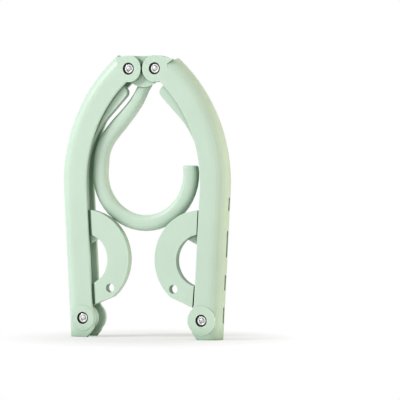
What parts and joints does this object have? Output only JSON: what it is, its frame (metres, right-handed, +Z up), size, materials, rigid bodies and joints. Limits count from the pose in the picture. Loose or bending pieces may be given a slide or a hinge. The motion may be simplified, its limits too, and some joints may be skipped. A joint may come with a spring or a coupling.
{
  "type": "folding travel hanger",
  "caption": "Folding clothes hanger, folded: channel-shaped shoulder arms on a hub, a swinging hook between them and an inner arm with a trouser bar and D ring in each.",
  "frame": {"origin": "on the floor under the hub, midway between the two arms' feet and midway through their depth", "axes": "+Z up to the hub, +X to the right seen from the front, +Y from the front face to the back"},
  "size_m": [0.1304, 0.0192, 0.2045],
  "materials": {
    "arm_plastic": "satin, pale mint green",
    "inner_plastic": "satin, pale mint green",
    "hub_plastic": "satin, pale mint green",
    "hook_plastic": "satin, pale mint green",
    "rivet_steel": "plain pressed steel, slightly worn",
    "pin_steel": "plain drawn steel"
  },
  "bodies": {
    "hub": {"hub": "hub_plastic", "hook_pin": "pin_steel", "left_hub_rivet_tube": "rivet_steel", "left_hub_rivet_pin": "rivet_steel", "right_hub_rivet_tube": "rivet_steel", "right_hub_rivet_pin": "rivet_steel"},
    "left_arm": {"left_shoulder_arm": "arm_plastic", "left_foot_rivet_tube": "rivet_steel", "left_foot_rivet_pin": "rivet_steel"},
    "right_arm": {"right_shoulder_arm": "arm_plastic", "right_foot_rivet_tube": "rivet_steel", "right_foot_rivet_pin": "rivet_steel"},
    "left_bar": {"left_bar_arm": "inner_plastic"},
    "right_bar": {"right_bar_arm": "inner_plastic"},
    "hook": {"hook": "hook_plastic"}
  },
  "joints": [
    {"name": "left_shoulder", "type": "hinge", "parent": "hub", "child": "left_arm", "pos_m": [-0.01025, 0, 0.1944], "axis": [0, 1, 0], "range_deg": [0, 50]},
    {"name": "right_shoulder", "type": "hinge", "parent": "hub", "child": "right_arm", "pos_m": [0.01025, 0, 0.1944], "axis": [0, -1, 0], "range_deg": [0, 50]},
    {"name": "left_bar_swing", "type": "hinge", "parent": "left_arm", "child": "left_bar", "pos_m": [-0.0467, 0, 0.0139], "axis": [0, 1, 0], "range_deg": [0, 15]},
    {"name": "right_bar_swing", "type": "hinge", "parent": "right_arm", "child": "right_bar", "pos_m": [0.0467, 0, 0.0139], "axis": [0, -1, 0], "range_deg": [0, 15]},
    {"name": "hook_swing", "type": "hinge", "parent": "hub", "child": "hook", "pos_m": [0, 0, 0.1944], "axis": [1, 0, 0], "range_deg": [0, 180]}
  ],
  "couplings": [
    {"joint": "right_shoulder", "follows": "left_shoulder", "ratio": 1},
    {"joint": "left_bar_swing", "follows": "left_shoulder", "ratio": 0.3},
    {"joint": "right_bar_swing", "follows": "left_shoulder", "ratio": 0.3},
    {"joint": "hook_swing", "follows": "left_shoulder", "ratio": 3.6}
  ]
}
